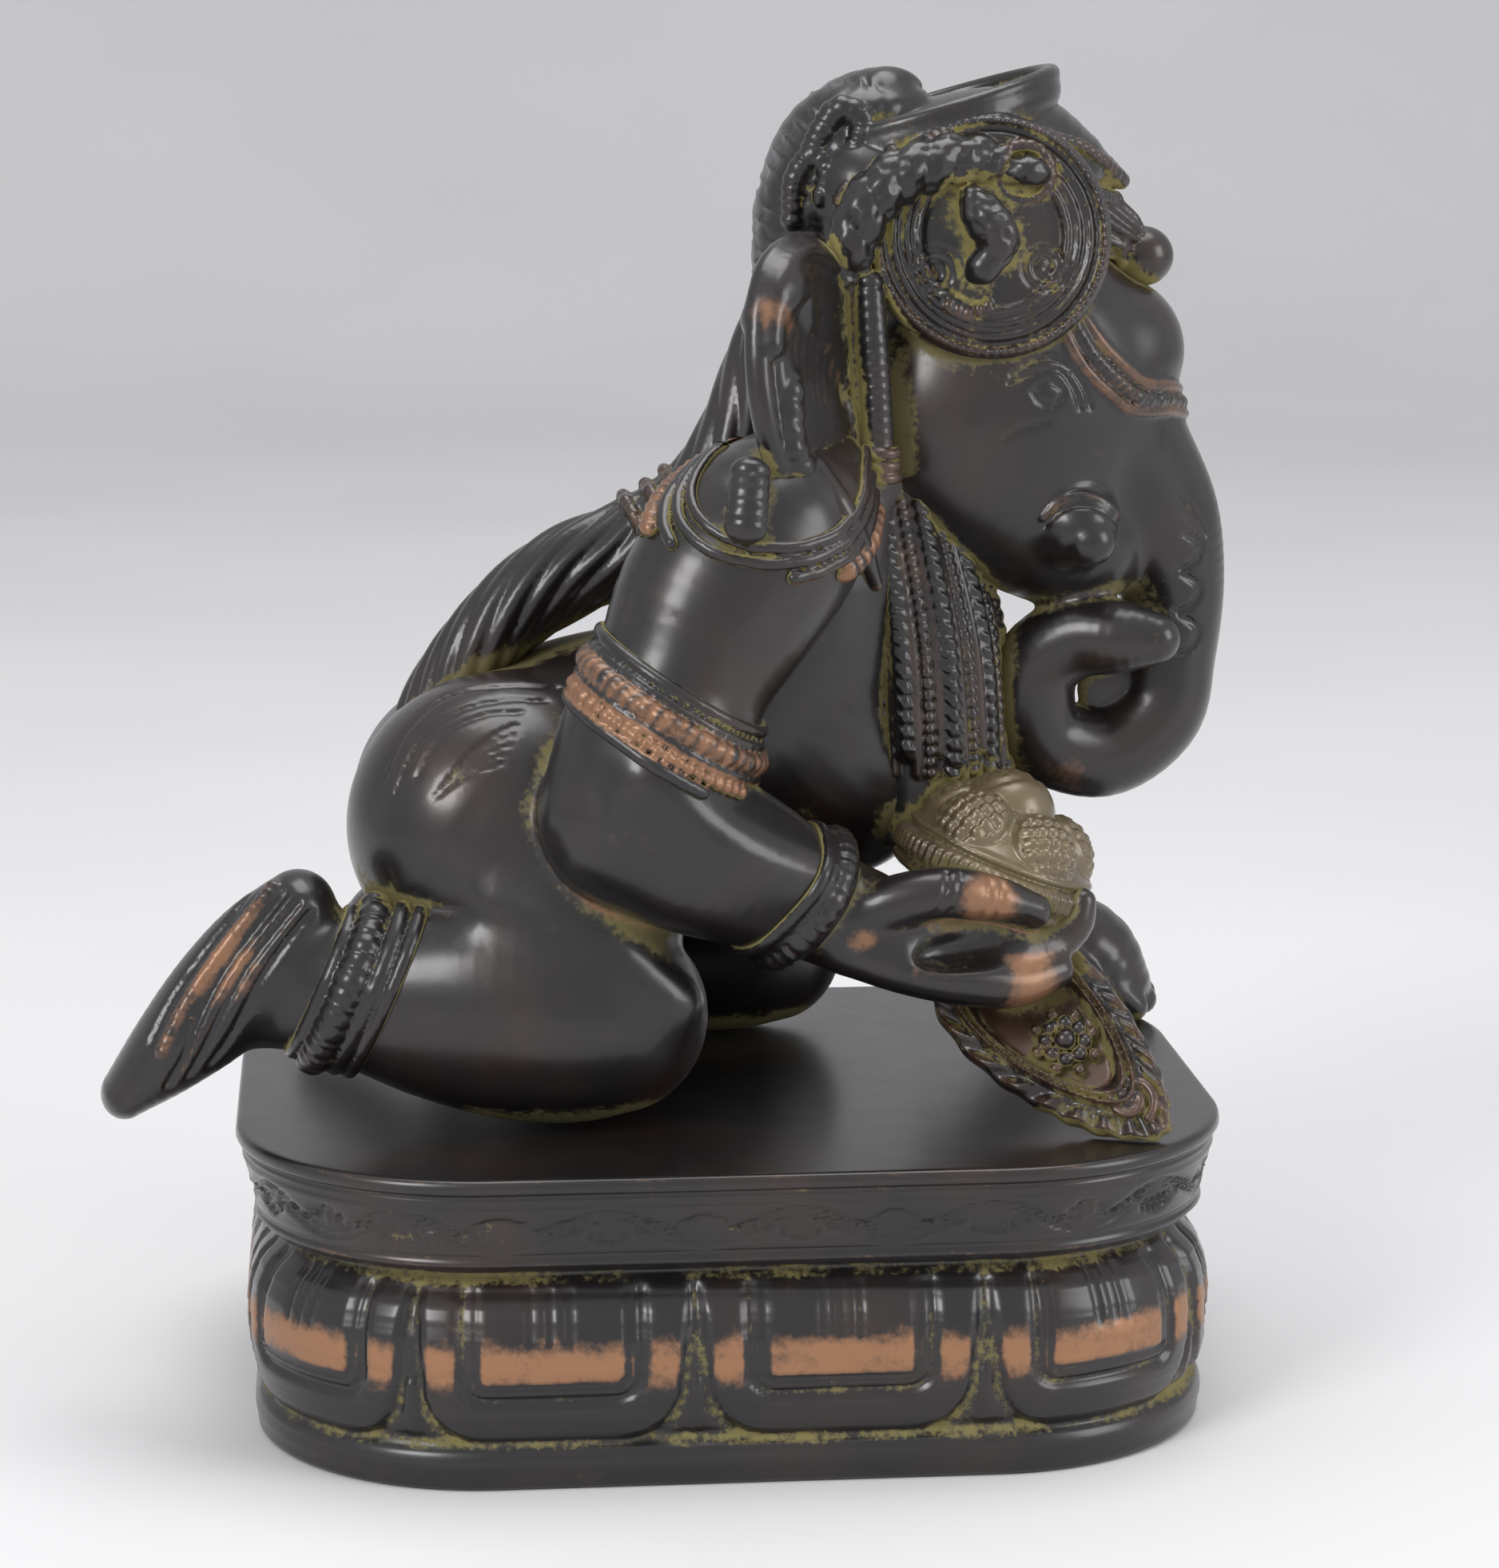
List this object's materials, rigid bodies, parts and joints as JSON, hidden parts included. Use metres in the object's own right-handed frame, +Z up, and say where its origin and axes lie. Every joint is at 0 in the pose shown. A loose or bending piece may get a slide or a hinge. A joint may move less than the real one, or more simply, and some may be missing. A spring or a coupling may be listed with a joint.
{
  "type": "ganesha figure",
  "caption": "Crawling elephant-headed figure in cast brass, a bowl of sweets on its raised palm, kneeling on a rounded lotus plinth.",
  "frame": {"origin": "centre of the plinth's flat underside, on the surface it stands on", "axes": "+Z up, +X the way the figure crawls, +Y towards the figure's left side"},
  "size_m": [0.1973, 0.132, 0.232],
  "materials": {
    "dark_brass": "satin dark brown-black patina with olive-yellow residue in the hollows and copper-tan rubbed edges",
    "rubbed_brass": "satin dark patina rubbed through to copper-tan on the petals, olive-yellow residue in the grooves"
  },
  "bodies": {
    "root": {"plinth": "rubbed_brass", "figure": "dark_brass"}
  },
  "joints": []
}
